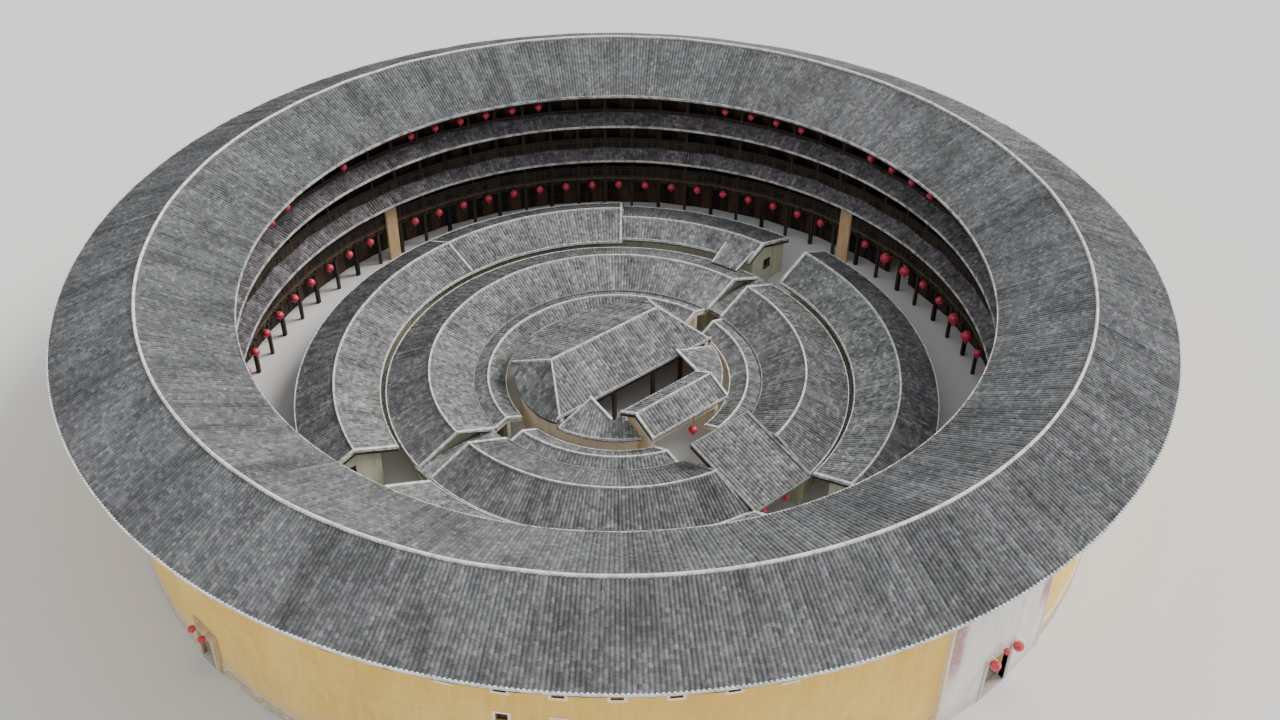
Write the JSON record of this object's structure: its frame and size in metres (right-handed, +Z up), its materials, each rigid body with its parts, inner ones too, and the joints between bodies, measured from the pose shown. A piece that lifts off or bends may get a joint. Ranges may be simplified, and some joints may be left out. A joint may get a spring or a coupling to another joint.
{
  "type": "tulou roundhouse, scale model 1:2",
  "caption": "Round earth-walled house: tiled ring roof over timber galleries, with lower tiled rings and a hall inside its court.",
  "frame": {"origin": "centre of the round house, on the ground", "axes": "+Z up; the main gate faces -Y; the side gates lie near -X and +X"},
  "size_m": [33.8278, 33.8278, 7.06],
  "materials": {
    "rammed_earth": "rough rammed earth with rain streaks",
    "foot_stone": "rough rubble stone",
    "gate_plaster": "matte lime plaster",
    "roof_tile": "weathered unglazed grey tile",
    "ridge_mortar": "weathered lime mortar",
    "dark_timber": "old dark timber",
    "floor_board": "old floor boards",
    "pale_board": "plain sawn boards",
    "gable_plaster": "pale earth plaster"
  },
  "bodies": {
    "root": {"corridor_east": "roof_tile", "corridor_north": "roof_tile", "corridor_west": "roof_tile", "earth_wall_east": "rammed_earth", "earth_wall_north": "rammed_earth", "earth_wall_south": "rammed_earth", "earth_wall_west": "rammed_earth", "east_gate_plaster": "gate_plaster", "floor_fourth": "floor_board", "floor_second": "floor_board", "floor_third": "floor_board", "front_hall_roof": "roof_tile", "front_hall_walls": "gable_plaster", "gallery_frame_fourth": "dark_timber", "gallery_frame_ground": "dark_timber", "gallery_frame_second": "dark_timber", "gallery_frame_third": "dark_timber", "gate_hall_roof": "roof_tile", "gate_hall_walls": "gable_plaster", "hall_wall": "gable_plaster", "link_roof": "roof_tile", "main_gate_plaster": "gate_plaster", "main_roof": "roof_tile", "main_roof_ridge": "ridge_mortar", "passage_roof_east": "roof_tile", "passage_roof_west": "roof_tile", "pent_roof_lower": "roof_tile", "pent_roof_upper": "roof_tile", "rear_hall_frame": "dark_timber", "rear_hall_roof": "roof_tile", "room_front_fourth": "dark_timber", "room_front_ground": "dark_timber", "room_front_second": "dark_timber", "room_front_third": "dark_timber", "second_ring_roof_east": "roof_tile", "second_ring_roof_north": "roof_tile", "second_ring_roof_step": "roof_tile", "second_ring_roof_west": "roof_tile", "second_ring_walls_east": "gable_plaster", "second_ring_walls_north": "gable_plaster", "second_ring_walls_step": "gable_plaster", "second_ring_walls_west": "gable_plaster", "stone_foot_east": "foot_stone", "stone_foot_north": "foot_stone", "stone_foot_west": "foot_stone", "tall_board_east": "pale_board", "tall_board_west": "pale_board", "third_ring_roof_east": "roof_tile", "third_ring_roof_north": "roof_tile", "third_ring_roof_west": "roof_tile", "third_ring_walls_east": "gable_plaster", "third_ring_walls_north": "gable_plaster", "third_ring_walls_west": "gable_plaster", "west_gate_plaster": "gate_plaster", "wing_roof_east": "roof_tile", "wing_roof_west": "roof_tile"}
  },
  "joints": []
}
